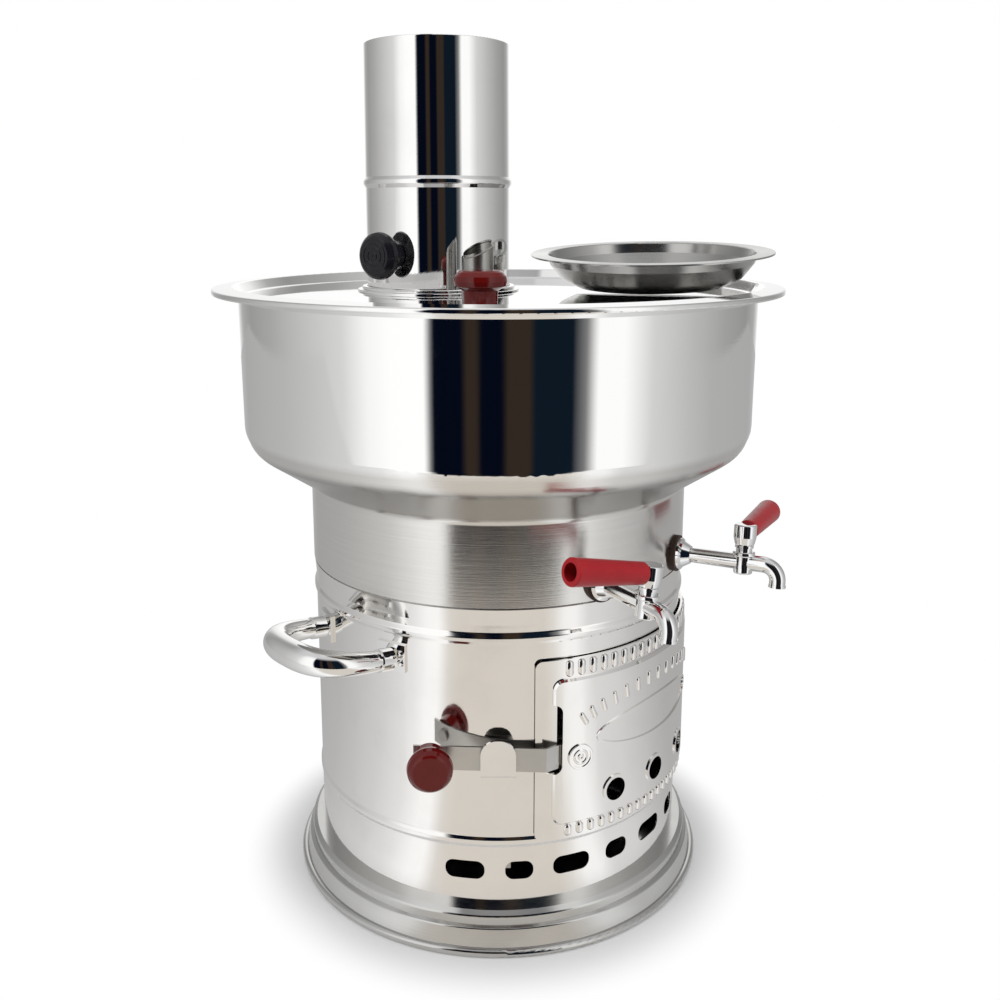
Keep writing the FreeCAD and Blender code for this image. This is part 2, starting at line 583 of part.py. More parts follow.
# Pivot rivet of the latch: a rimmed flat head outside the door and a collar inside.
pin_low = size("latch_bar_radius") - half - 2.0
pin = Part.makeCylinder(size("latch_pin_radius"), field_r + 0.6 - pin_low,
                        around(size("latch_pivot_angle"), pin_low,
                               size("latch_pivot_height")), out_dir)
collar = Part.makeCylinder(size("latch_pin_radius") + 1.8, 1.4,
                           around(size("latch_pivot_angle"), pin_low - 0.2,
                                  size("latch_pivot_height")), out_dir)
head_top = field_r + size("latch_head_rise")
head = Part.makeCylinder(size("latch_head_radius"), size("latch_head_rise") + 4.0,
                         around(size("latch_pivot_angle"), field_r - 4.0,
                                size("latch_pivot_height")), out_dir)
head = head.makeFillet(0.4, [e for e in head.Edges if isinstance(e.Curve, Part.Circle)
                             and e.CenterOfMass.Length > pivot.Length])
hollow = Part.makeCylinder(size("latch_head_radius") - size("latch_head_rim"), 5.0,
                           around(size("latch_pivot_angle"),
                                  head_top - size("latch_head_dish"),
                                  size("latch_pivot_height")), out_dir)
head = head.cut([Part.makeCylinder(field_r, 300.0), hollow])
rivet = joined([pin, collar, head])
shaped("latch_pivot", rivet).Label = "latch_pivot"

# Keeper: a hook whose foot goes through the slit and is welded inside the shell.
kw, kg = size("keeper_width"), size("keeper_gauge")
inner_wall = size("firebox_radius") - size("firebox_gauge")
back = math.sqrt(inner_wall ** 2 - (kw / 2) ** 2)
shelf = Part.makeBox(kw, size("keeper_reach") - back + kg, kg,
                     V(-kw / 2, -size("keeper_reach"), size("keeper_low")))
front = Part.makeBox(kw, kg, size("keeper_high") - size("keeper_low"),
                     V(-kw / 2, -size("keeper_reach"), size("keeper_low")))
front = front.makeFillet(kw * 0.46, [e for e in front.Edges
                                     if abs(e.tangentAt(e.FirstParameter).y) > 0.9
                                     and e.Vertexes[0].Z > size("keeper_high") - 0.1])
foot = Part.makeBox(kw, kg, size("keeper_foot"),
                    V(-kw / 2, -back, size("keeper_low") + kg - size("keeper_foot")))
keeper = joined([shelf, front, foot])
bend_edges = [e for e in keeper.Edges if abs(e.tangentAt(e.FirstParameter).x) > 0.9
              and abs(e.CenterOfMass.y + size("keeper_reach")) < 0.01
              and abs(e.CenterOfMass.z - size("keeper_low")) < 0.01]
keeper = keeper.makeFillet(kg, bend_edges)
shaped("latch_keeper", keeper).Label = "latch_keeper"


# Mushroom knobs: one form, used on the chimney, the filler lid and the latch.
def knob(name, placement, radius="knob_radius"):
    item = turned(name + "_form", [
        ("0", "knob_screw_depth"),
        ("knob_screw_radius", "knob_screw_depth"),
        ("knob_screw_radius", "0"),
        ("knob_foot_radius", "0"),
        ("knob_neck_radius", "knob_height * 0.42"),
        (radius + " * 0.95", "knob_height * 0.55"),
        (radius, "knob_height * 0.69"),
        (radius + " * 0.965", "knob_height * 0.84"),
        (radius + " * 0.84", "knob_height * 0.95"),
        (radius + " * 0.74", "knob_height"),
        ("0", "knob_height"),
    ], rounds=[(5, "1.2"), (8, "1.6")], base=placement)
    item.Label = name
    return item


def knob_screw(name, placement, gauge):
    """A pan-head screw that clamps a knob through a wall of the given gauge."""
    shank = Part.makeCylinder(size("knob_screw_radius") - 0.02,
                              size("knob_screw_depth") - 1.0 + gauge, V(0, 0, -gauge))
    head = Part.makeCylinder(size("knob_screw_head"), size("knob_screw_head_height"),
                             V(0, 0, -gauge - size("knob_screw_head_height")))
    head = head.makeFillet(0.8, [e for e in head.Edges if e.Length > 10
                                 and e.CenterOfMass.z < -gauge - 1.0])
    item = shaped(name, shank.fuse(head).removeSplitter())
    item.Placement = placement
    item.Label = name


latch_face = facing(knob_out, knob_spot + knob_out * half)
knob("latch_knob", latch_face, "latch_knob_radius")
knob_screw("latch_knob_screw", latch_face, size("latch_bar_gauge"))


# Side handles: a formed tube on two brackets, each with two rivets.
grip_height = size("high_bead_height") - size("grip_drop")


def grip_points(angle, steps):
    """Centre line of a handle as (point, radius of the tube there)."""
    out = outward(angle)
    side_dir = V(-out.y, out.x, 0)
    rows = []
    for k in range(steps):
        u = -math.pi / 2 + math.pi * k / (steps - 1)
        power = 2.0 / size("grip_fullness")
        sine, cosine = math.sin(u), max(math.cos(u), 0.0)
        across = size("grip_half_span") * math.copysign(abs(sine) ** power, sine)
        away = size("grip_reach") * cosine ** power
        lift = math.tan(math.radians(size("grip_tilt"))) * away
        point = out * (size("grip_root_radius") + away) + side_dir * across
        swell = math.sin(math.pi * k / (steps - 1)) ** 0.7
        radius = size("grip_end_radius") + swell * (size("grip_middle_radius")
                                                    - size("grip_end_radius"))
        rows.append((V(point.x, point.y, grip_height + lift), radius))
    return rows


def grip(angle):
    rows = grip_points(angle, 15)
    rings = []
    for i, (point, radius) in enumerate(rows):
        ahead = rows[min(i + 1, len(rows) - 1)][0]
        behind = rows[max(i - 1, 0)][0]
        if i == 0 or i == len(rows) - 1:
            lean = math.tan(math.radians(size("grip_tilt")))
            direction = outward(angle) + V(0, 0, lean)
            direction = direction if i == 0 else direction * -1.0
        else:
            direction = ahead - behind
        rings.append(Part.Wire([Part.Circle(point, direction, radius).toShape()]))
    return Part.makeLoft(rings, True, False)


rivets = []
for label, angle in (("left", size("grip_left_angle")), ("right", size("grip_right_angle"))):
    tube_form = grip(angle)
    shaped("grip_" + label, tube_form).Label = "grip_" + label
    pair = []
    for sign in (-1, 1):
        root = size("firebox_radius")
        turn_to = math.degrees(math.asin(size("grip_half_span") / size("grip_root_radius")))
        spot = angle + sign * turn_to
        out = outward(angle)
        high = size("bracket_height") / 2
        wrap = size("bracket_wrap")
        gauge = size("bracket_gauge")
        sheet_plate = ring_sector(root, root + gauge, grip_height - high,
                                  grip_height + high, spot - wrap, spot + wrap)
        side_dir = V(-out.y, out.x, 0)
        centre = out * size("grip_root_radius") + side_dir * (sign * size("grip_half_span"))
        lean = V(out.x, out.y, math.tan(math.radians(size("grip_tilt")))).normalize()
        cup = Part.makeCylinder(size("grip_end_radius") + 1.1, 8.0,
                                V(centre.x, centre.y, grip_height) - lean * 5.6, lean)
        piece = sheet_plate.fuse(cup).cut(tube_form)
        piece = piece.cut(Part.makeCylinder(root, 400.0))
        for level in (-1, 1):
            height = grip_height + level * size("rivet_spacing") / 2
            at = spot + sign * (wrap - 1.4)
            inside = around(at, root - size("firebox_gauge") - 1.0, height)
            shank = Part.makeCylinder(size("rivet_radius"), gauge + size("firebox_gauge") + 2.0,
                                      inside, outward(at))
            head_r, head_h = size("rivet_head_radius"), size("rivet_head_rise")
            ball = (head_r ** 2 + head_h ** 2) / (2 * head_h)
            head = Part.makeSphere(ball, around(at, root + gauge + head_h - ball, height))
            head = head.common(Part.makeCylinder(head_r, 6.0, around(at, root + gauge, height),
                                                 outward(at)))
            tail_disc = Part.makeCylinder(head_r, 0.9,
                                          around(at, root - size("firebox_gauge") - 1.0,
                                                 height), outward(at))
            tail_disc = tail_disc.common(Part.makeCylinder(root - size("firebox_gauge"), 400.0))
            rivets.append(joined([shank, head, tail_disc]))
            piece = piece.cut(Part.makeCylinder(size("rivet_radius"), 30.0,
                                                around(at, root - 12.0, height), outward(at)))
        pair.append(piece.removeSplitter())
    shaped("brackets_" + label, Part.makeCompound(pair)).Label = "brackets_" + label
rivet_group = shaped("handle_rivets", Part.makeCompound(rivets))
rivet_group.Label = "handle_rivets"
rivet_holes = []
for angle in (size("grip_left_angle"), size("grip_right_angle")):
    for sign in (-1, 1):
        turn_to = math.degrees(math.asin(size("grip_half_span") / size("grip_root_radius")))
        at = angle + sign * (turn_to + size("bracket_wrap") - 1.4)
        for level in (-1, 1):
            rivet_holes.append(Part.makeCylinder(
                size("rivet_radius"), 20.0,
                around(at, size("firebox_radius") - 10.0,
                       grip_height + level * size("rivet_spacing") / 2), outward(at)))
shell_openings.Shape = Part.makeCompound(openings + rivet_holes)

# Water tank: neck, cone and bowl in one wall, with two tap holes.
tank_turn = turned("tank_wall", [
    ("neck_radius - tank_gauge", "neck_low"),
    ("neck_radius", "neck_low"),
    ("neck_radius", "cone_low"),
    ("cone_radius", "cone_high"),
    ("bowl_radius_low", "bowl_low"),
    ("bowl_radius", "plate_top - plate_gauge"),
    ("bowl_radius - tank_gauge", "plate_top - plate_gauge"),
    ("bowl_radius_low - tank_gauge", "bowl_low + 0.3"),
    ("cone_radius - tank_gauge * 0.7", "cone_high + tank_gauge * 0.9"),
    ("neck_radius - tank_gauge", "cone_low + tank_gauge * 0.6"),
], rounds=[(3, "bowl_corner"), (4, "bowl_corner"), (7, "bowl_corner - 1"),
           (8, "bowl_corner - 1"), (2, "4"), (9, "5")])
tap_angles = (("left", size("tap_left_angle"), size("tap_left_turn")),
              ("right", size("tap_right_angle"), size("tap_right_turn")))
tap_holes = [Part.makeCylinder(size("tap_shank_radius") + size("tap_shank_play"), 20.0,
                               around(angle, size("neck_radius") - 10.0, size("tap_height")),
                               outward(angle)) for _, angle, _ in tap_angles]
tank = cut("tank_shell", tank_turn, shaped("tank_holes", Part.makeCompound(tap_holes)))
tank.Label = "tank_shell"

flue_at = FreeCAD.Placement(V(size("flue_x"), size("flue_y"), 0), FreeCAD.Rotation())
floor_turn = turned("floor_pan", [
    ("0", "floor_top - floor_gauge"),
    ("firebox_radius - firebox_gauge - spigot_fit - tank_gauge", "floor_top - floor_gauge"),
    ("firebox_radius - firebox_gauge - spigot_fit - tank_gauge", "firebox_top - spigot_depth"),
    ("firebox_radius - firebox_gauge - spigot_fit", "firebox_top - spigot_depth"),
    ("firebox_radius - firebox_gauge - spigot_fit", "firebox_top"),
    ("neck_radius - tank_gauge - seam_inset", "firebox_top"),
    ("neck_radius - tank_gauge - seam_inset", "neck_low"),
    ("neck_radius - tank_gauge", "neck_low"),
    ("neck_radius - tank_gauge", "floor_top"),
    ("0", "floor_top"),
])
floor = cut("tank_floor", floor_turn, cylinder("floor_hole", "flue_radius", "60",
                                               FreeCAD.Placement(
    V(size("flue_x"), size("flue_y"), size("floor_top") - 30), FreeCAD.Rotation())))
floor.Label = "tank_floor"

plate_turn = turned("plate_form", [
    ("0", "plate_top - plate_gauge"),
    ("bowl_radius - recess_inset + plate_gauge", "plate_top - plate_gauge"),
    ("bowl_radius + crest_reach + plate_gauge * 0.5", "crest_height - plate_gauge"),
    ("bowl_radius + brim_reach - 2.2", "brim_top - plate_gauge"),
    ("bowl_radius + brim_reach - 2.2", "brim_top - brim_lip"),
    ("bowl_radius + brim_reach", "brim_top - brim_lip"),
    ("bowl_radius + brim_reach", "brim_top"),
    ("bowl_radius + crest_reach", "crest_height"),
    ("bowl_radius - recess_inset", "plate_top"),
    ("0", "plate_top"),
], rounds=[(6, "brim_round"), (5, "brim_round * 0.7"), (7, "1.2"), (8, "1.5")])
plate_cutters = [
    cylinder("flue_opening", "flue_radius", "40", FreeCAD.Placement(
        V(size("flue_x"), size("flue_y"), size("plate_top") - 20), FreeCAD.Rotation())),
    cylinder("filler_opening", "filler_hole", "40", FreeCAD.Placement(
        V(size("filler_x"), size("filler_y"), size("plate_top") - 20), FreeCAD.Rotation())),
    cylinder("vent_opening", "vent_radius", "40", FreeCAD.Placement(
        V(size("vent_x"), size("vent_y"), size("plate_top") - 20), FreeCAD.Rotation())),
]
top_plate = cut("top_plate", plate_turn, *plate_cutters)
top_plate.Label = "top_plate"

flue = turned("flue_form", [
    ("flue_radius - flue_gauge", "floor_top - floor_gauge"),
    ("flue_radius", "floor_top - floor_gauge"),
    ("flue_radius", "flue_top"),
    ("flue_radius - flue_gauge", "flue_top"),
], base=flue_at)
flue.Label = "flue_tube"

ring = turned("collar_form", [
    ("flue_radius", "plate_top"),
    ("collar_radius", "plate_top"),
    ("collar_radius", "plate_top + collar_flange"),
    ("collar_step_radius", "plate_top + collar_flange"),
    ("collar_step_radius", "plate_top + collar_height"),
    ("flue_radius + chimney_fit + chimney_gauge + collar_play", "plate_top + collar_height"),
    ("flue_radius + chimney_fit + chimney_gauge + collar_play", "plate_top + collar_flange"),
    ("flue_radius", "plate_top + collar_flange"),
], rounds=[(2, "0.5"), (4, "0.7")], base=flue_at)
ring.Label = "chimney_collar"

# Chimney: a plain tube with a swaged bead, lifted off the flue by hand.
outer = "flue_radius + chimney_fit + chimney_gauge"
chimney_turn = turned("chimney_form", [
    ("flue_radius + chimney_fit", "plate_top + collar_flange"),
    (outer, "plate_top + collar_flange"),
    (outer, "chimney_bead - chimney_bead_half"),
    (outer + " + chimney_bead_rise", "chimney_bead - 1"),
    (outer + " + chimney_bead_rise", "chimney_bead + 1.2"),
    (outer, "chimney_bead + chimney_bead_half"),
    (outer + " - chimney_taper", "chimney_top"),
    (outer + " - chimney_taper - chimney_gauge", "chimney_top"),
    ("flue_radius + chimney_fit", "chimney_bead + chimney_bead_half"),
], rounds=[(3, "1.3"), (4, "1.3"), (6, "0.45")], base=flue_at)
knob_dir = outward(size("chimney_knob_angle"))
chimney_axis = V(size("flue_x"), size("flue_y"), size("chimney_knob_height"))
chimney_r = worked_out(outer)
knob_hole = shaped("chimney_knob_hole", Part.makeCylinder(
    size("knob_screw_radius"), 30.0, chimney_axis + knob_dir * (chimney_r - 15.0), knob_dir))
chimney = cut("chimney", chimney_turn, knob_hole)
chimney.Label = "chimney"
knob_place = facing(knob_dir, chimney_axis + knob_dir * (chimney_r + 0.0))
knob("chimney_knob", knob_place)
# The flue stops below this screw's head, so its gauge is the chimney's wall alone.
knob_screw("chimney_knob_screw", knob_place, size("chimney_gauge") + 0.15)

# Filler lid with its plug skirt and knob.
lid_at = FreeCAD.Placement(V(size("filler_x"), size("filler_y"), size("plate_top")),
                           FreeCAD.Rotation())
lid = turned("lid_form", [
    ("knob_screw_radius", "0"),
    ("filler_hole - lid_skirt_fit - lid_gauge", "0"),
    ("filler_hole - lid_skirt_fit - lid_gauge", "0 - lid_skirt_depth"),
    ("filler_hole - lid_skirt_fit", "0 - lid_skirt_depth"),
    ("filler_hole - lid_skirt_fit", "0"),
    ("lid_radius", "0"),
    ("lid_radius", "lid_gauge"),
    ("knob_screw_radius", "lid_gauge"),
], rounds=[(6, "0.6")], base=lid_at)
lid.Label = "filler_lid"
lid_knob_at = FreeCAD.Placement(V(size("filler_x"), size("filler_y"),
                                  size("plate_top") + size("lid_gauge")), FreeCAD.Rotation())
knob("filler_knob", lid_knob_at)
knob_screw("filler_knob_screw", lid_knob_at, size("lid_gauge"))

# Vent tube with a slanted mouth and a rolled lip.
lean = V(-math.tan(math.radians(size("vent_lean_side"))),
         -math.tan(math.radians(size("vent_lean_front"))), 1.0).normalize()
vent_top = V(size("vent_x"), size("vent_y"), size("vent_top"))
vent_low = V(size("vent_x"), size("vent_y"),
             size("plate_top") - size("plate_gauge") - size("vent_depth"))
tube = Part.makeCylinder(size("vent_radius"), 60.0, vent_low)
bore = Part.makeCylinder(size("vent_radius") - size("vent_gauge"), 80.0,
                         vent_low - V(0, 0, 10))
above = Part.makeBox(60.0, 60.0, 40.0, V(-30, -30, 0))
above.Placement = facing(lean, vent_top)
mouth = Part.makePlane(60.0, 60.0, V(-30, -30, 0))
mouth.Placement = facing(lean, vent_top)
edge_ring = Part.makeCylinder(size("vent_radius") + 0.2, 60.0, vent_low).common(mouth)
lip_path = edge_ring.Faces[0].OuterWire
start = lip_path.Edges[0].valueAt(lip_path.Edges[0].FirstParameter)
tangent = lip_path.Edges[0].tangentAt(lip_path.Edges[0].FirstParameter)
lip_section = Part.Wire([Part.Circle(start, tangent, size("vent_lip")).toShape()])
lip = Part.Wire(lip_path.Edges).makePipeShell([lip_section], True, True)
vent = tube.cut(above).cut(bore).fuse(lip.cut(bore))
shaped("vent_tube", vent.removeSplitter()).Label = "vent_tube"

# Loose dish that leans in the recess, on the plate and the crest of the brim.
dish = turned("dish_form", [
    ("0", "0"),
    ("dish_bottom_radius - 3", "0"),
    ("dish_bottom_radius + 6.5", "dish_height * 0.22"),
    ("dish_radius - 2.2", "dish_height * 0.68"),
    ("dish_radius", "dish_height - dish_gauge"),
    ("dish_flange_radius", "dish_height - dish_gauge"),
    ("dish_flange_radius", "dish_height"),
    ("dish_radius - dish_gauge", "dish_height"),
    ("dish_radius - 2.2 - dish_gauge", "dish_height * 0.68"),
    ("dish_bottom_radius + 6.5 - dish_gauge", "dish_height * 0.22 + dish_gauge * 0.8"),
    ("dish_bottom_radius - 3.4", "dish_gauge"),
    ("0", "dish_gauge"),
], rounds=[(2, "12"), (9, "11"), (6, "0.4"), (7, "1.2")])
tilt_axis = outward(size("dish_tilt_angle")).cross(V(0, 0, 1))
dish.Placement = FreeCAD.Placement(
    V(size("dish_x"), size("dish_y"), size("plate_top") + size("dish_lift")),
    FreeCAD.Rotation(tilt_axis, size("dish_tilt")))
dish.Label = "dish"

# Taps: shank through the neck wall, flange, pipe, plug barrel and bent spout.
gaskets, nuts = [], []
for label, angle, turn in tap_angles:
    out = outward(angle)
    height = size("tap_height")
    stem_at = around(angle, size("tap_stem_radius"), height)
    seat = size("neck_radius") + size("tap_gasket_gauge")
    gasket = Part.makeCylinder(size("tap_gasket_radius"), size("tap_gasket_gauge") + 2.0,
                               around(angle, seat - size("tap_gasket_gauge") - 2.0, height),
                               out)
    gasket = gasket.cut([Part.makeCylinder(size("neck_radius"), 400.0),
                         Part.makeCylinder(size("tap_shank_radius"), 30.0,
                                           around(angle, seat - 20.0, height), out)])
    gaskets.append(gasket)

    def along_tap(rows):
        """A solid turned about the tap's own axis from (distance, radius) pairs."""
        side_up = V(0, 0, 1)
        corners = [around(angle, rows[0][0], height)]
        corners += [around(angle, u, height) + side_up * r for u, r in rows]
        corners += [around(angle, rows[-1][0], height)]
        face = Part.Face(Part.makePolygon(corners + [corners[0]]))
        return face.revolve(V(0, 0, height), out, 360.0)

    pipe_r = size("tap_pipe_radius")
    flange_end = seat + size("tap_flange_gauge")
    cone_end = flange_end + size("tap_cone_length")
    run = along_tap([
        (size("tap_shank_inner"), size("tap_shank_radius")),
        (seat, size("tap_shank_radius")),
        (seat, size("tap_flange_radius")),
        (flange_end, size("tap_flange_radius")),
        (flange_end + 1.2, size("tap_flange_radius") * 0.82),
        (cone_end, pipe_r + 0.9),
        (cone_end, pipe_r),
        (size("tap_stem_radius"), pipe_r + 0.3)])
    up = V(0, 0, 1)
    barrel = Part.makeCylinder(size("tap_barrel_radius"),
                               size("tap_barrel_depth") + size("tap_shoulder_height") + 1.0,
                               stem_at - up * size("tap_barrel_depth"))
    barrel = barrel.makeFillet(1.0, [e for e in barrel.Edges
                                     if e.Length > 20 and e.CenterOfMass.z < height])
    shoulder = Part.makeCylinder(size("tap_shoulder_radius"), size("tap_shoulder_gauge"),
                                 stem_at + up * size("tap_shoulder_height"))
    shoulder = shoulder.makeFillet(0.8, [e for e in shoulder.Edges if e.Length > 20])
    throat = Part.makeCylinder(size("tap_throat_radius"),
                               size("tap_throat_top") - size("tap_shoulder_height"),
                               stem_at + up * size("tap_shoulder_height"))
    throat_ring = Part.makeCylinder(size("tap_throat_radius") + 0.7, 1.6,
                                    stem_at + up * (size("tap_throat_top") - 1.6))
    bend = size("tap_spout_bend")
    reach_to = size("tap_spout_reach")
    drop_to = size("tap_spout_drop")
    first = stem_at + out * 3.0
    second = stem_at + out * (reach_to - bend)
    third = stem_at + out * reach_to - up * bend
    fourth = stem_at + out * reach_to - up * drop_to
    middle = second + out * (bend * math.sin(math.radians(45))) \
        - up * (bend * (1 - math.cos(math.radians(45))))

    def spout_pipe(radius, start, extra):
        path = Part.Wire([Part.LineSegment(start, second).toShape(),
                          Part.Arc(second, middle, third).toShape(),
                          Part.LineSegment(third, fourth - up * extra).toShape()])
        section = Part.Wire([Part.Circle(start, out, radius).toShape()])
        return path.makePipeShell([section], True, False)

    spout = spout_pipe(size("tap_spout_radius"), first, 0.0)
    lip_ring = Part.makeCylinder(size("tap_spout_radius") + 0.35, 1.6, fourth)
    passage = Part.makeCylinder(size("tap_bore_radius"),
                                size("tap_stem_radius") - size("tap_shank_inner"),
                                around(angle, size("tap_shank_inner"), height), out)
    plug_hole = Part.makeCylinder(size("tap_plug_radius") + size("tap_plug_play"), 40.0,
                                  stem_at - up * size("tap_plug_depth"))
    outlet = spout_pipe(size("tap_spout_bore"), first, 2.0)
    tap_body = run.fuse([barrel, shoulder, throat, throat_ring, spout, lip_ring])
    tap_body = tap_body.cut([passage, plug_hole, outlet]).removeSplitter()
    tap_body.rotate(stem_at, out, -size("tap_roll"))
    shaped("tap_body_" + label, tap_body).Label = "tap_body_" + label

    # The plug, its cap and the rod are one turned piece; the sleeve slides over the rod.
    # The whole tap is screwed home a little past upright, which the roll gives.
    level_lever = outward(angle + turn)
    rise = math.radians(size("tap_lever_rise"))
    lever = level_lever * math.cos(rise) + up * math.sin(rise)
    plug_low = stem_at - up * (size("tap_plug_depth") - 0.3)
    cap_low = size("tap_throat_top") + size("tap_cap_gap")
    plug = Part.makeCylinder(size("tap_plug_radius"), size("tap_plug_depth") - 0.3 + cap_low + 1,
                             plug_low)
    waterway = Part.makeCylinder(size("tap_bore_radius"), 20.0,
                                 stem_at - level_lever * 10.0, level_lever)
    cap_r = size("tap_cap_radius")
    cap = Part.makeCone(cap_r * 0.86, cap_r, size("tap_cap_height") * 0.35,
                        stem_at + up * cap_low)
    cap = cap.fuse(Part.makeCylinder(cap_r, size("tap_cap_height") * 0.65,
                                     stem_at + up * (cap_low + size("tap_cap_height") * 0.35)))
    cap = cap.removeSplitter()
    top_level = stem_at.z + cap_low + size("tap_cap_height")
    cap = cap.makeFillet(0.9, [e for e in cap.Edges
                               if e.Length > 20 and abs(e.CenterOfMass.z - top_level) < 0.01])
    lever_from = stem_at + up * size("tap_lever_height")
    rod = Part.makeCylinder(size("tap_rod_radius"), size("tap_rod_end"), lever_from, lever)
    sleeve_room = Part.makeCylinder(size("tap_lever_root") + 0.3, 30.0,
                                    lever_from + lever * size("tap_lever_start"), lever)
    cap = cap.cut(sleeve_room)
    plug = joined([plug.cut(waterway), cap, rod])
    plug.rotate(stem_at, out, -size("tap_roll"))
    shaped("tap_plug_" + label, plug).Label = "tap_plug_" + label
    near, far = size("tap_lever_start") + 0.1, size("tap_lever_length")
    sleeve = Part.makeCone(size("tap_lever_root"), size("tap_lever_end"), far - near,
                           lever_from + lever * near, lever)
    sleeve = sleeve.makeFillet(1.1, [e for e in sleeve.Edges
                                     if e.Length > 2 * math.pi * size("tap_lever_root") - 1.0
                                     and isinstance(e.Curve, Part.Circle)])
    pocket = Part.makeCylinder(size("tap_lever_bore"), size("tap_lever_bore_depth"),
                               lever_from + lever * (far - size("tap_lever_bore_depth")), lever)
    rod_hole = Part.makeCylinder(size("tap_rod_radius"), far, lever_from, lever)
    sleeve = sleeve.cut([pocket, rod_hole])
    sleeve.rotate(stem_at, out, -size("tap_roll"))
    shaped("tap_lever_" + label, sleeve).Label = "tap_lever_" + label

    flats = Part.makePolygon([V(size("tap_nut_size") * math.cos(math.radians(60 * k)),
                                size("tap_nut_size") * math.sin(math.radians(60 * k)), 0)
                              for k in range(7)])
    nut = Part.Face(flats).extrude(V(0, 0, size("tap_nut_height")))
    flat_at = size("neck_radius") - size("tank_gauge") - 0.4 - size("tap_nut_height")
    nut.Placement = facing(out, around(angle, flat_at, height))
    nuts.append(nut.cut(Part.makeCylinder(size("tap_shank_radius"), 30.0,
                                          around(angle, flat_at - 10.0, height), out)))
shaped("tap_gaskets", Part.makeCompound(gaskets)).Label = "tap_gaskets"
shaped("tap_nuts", Part.makeCompound(nuts)).Label = "tap_nuts"

NODES = [
    "base_tray", "firebox_shell", "grate", "grate_lugs", "door_panel", "hinge_shell_leaves",
    "hinge_door_leaves", "hinge_pins", "latch_bar", "latch_pivot", "latch_keeper",
    "latch_knob", "latch_knob_screw", "grip_left", "grip_right", "brackets_left",
    "brackets_right", "handle_rivets", "tank_shell", "tank_floor", "top_plate", "flue_tube",
    "chimney_collar", "chimney", "chimney_knob", "chimney_knob_screw", "vent_tube",
    "filler_lid", "filler_knob", "filler_knob_screw", "dish", "tap_gaskets", "tap_nuts",
    "tap_body_left", "tap_body_right", "tap_plug_left", "tap_plug_right",
    "tap_lever_left", "tap_lever_right",
]
doc.recompute()
for item in doc.Objects:
    if "Invalid" in item.State or "Error" in item.State:
        raise RuntimeError("%s did not build: %s" % (item.Name, item.State))
pieces = {}
for item in doc.Objects:
    if item.Label in NODES and hasattr(item, "Shape"):
        pieces[item.Label] = item
for label in NODES:
    shape = pieces[label].Shape
    if shape.isNull() or not shape.isValid() or not shape.Solids:
        raise RuntimeError(label + " has no valid solid")
os.makedirs("parts", exist_ok=True)
triangles = 0
for label in NODES:
    shape = pieces[label].Shape
    shape.exportStep(os.path.join("parts", label + ".step"))
    count = len(shape.tessellate(0.15)[1])
    triangles += count
    print("%-20s %2d solids  %9.0f mm3  %5d facets" % (label, len(shape.Solids),
                                                       shape.Volume, count))
print("total facets", triangles)
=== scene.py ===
import json
import math

import bpy
from mathutils import Matrix, Vector


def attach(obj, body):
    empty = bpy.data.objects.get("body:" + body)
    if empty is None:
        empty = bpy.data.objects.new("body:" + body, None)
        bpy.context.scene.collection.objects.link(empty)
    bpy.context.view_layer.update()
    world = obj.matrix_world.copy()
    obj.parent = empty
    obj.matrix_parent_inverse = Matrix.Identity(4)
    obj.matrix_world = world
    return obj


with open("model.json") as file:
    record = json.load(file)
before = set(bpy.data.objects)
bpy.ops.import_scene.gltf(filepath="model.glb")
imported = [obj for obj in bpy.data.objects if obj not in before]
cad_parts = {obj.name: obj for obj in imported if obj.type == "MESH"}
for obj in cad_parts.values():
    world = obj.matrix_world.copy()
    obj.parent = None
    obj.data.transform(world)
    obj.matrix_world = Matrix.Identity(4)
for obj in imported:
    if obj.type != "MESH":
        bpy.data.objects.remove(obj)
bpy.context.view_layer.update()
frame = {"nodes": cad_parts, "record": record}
NODES = frame["nodes"]


# How shader sums are written

class Wire:
    """A socket in a node tree. Sums on wires and numbers add Math nodes to the tree."""

    def __init__(self, bench, socket):
        self.bench, self.socket = bench, socket

    def _sum(self, how, *values):
        return self.bench.add("ShaderNodeMath", {"operation": how}, dict(enumerate(values)))

    def __add__(self, other):
        return self._sum("ADD", self, other)

    __radd__ = __add__

    def __sub__(self, other):
        return self._sum("SUBTRACT", self, other)

    def __rsub__(self, other):
        return self._sum("SUBTRACT", other, self)

    def __mul__(self, other):
        return self._sum("MULTIPLY", self, other)

    __rmul__ = __mul__

    def __truediv__(self, other):
        return self._sum("DIVIDE", self, other)

    def root(self):
        return self._sum("SQRT", self)

    def sine(self):
        return self._sum("SINE", self)

    def turn_of(self, other):
        return self._sum("ARCTAN2", self, other)

    def from_to(self, low, high, start=0.0, end=1.0, smooth=True):
        kind = "SMOOTHSTEP" if smooth else "LINEAR"
        values = {0: self, 1: low, 2: high, 3: start, 4: end}
        return self.bench.add("ShaderNodeMapRange", {"interpolation_type": kind}, values)


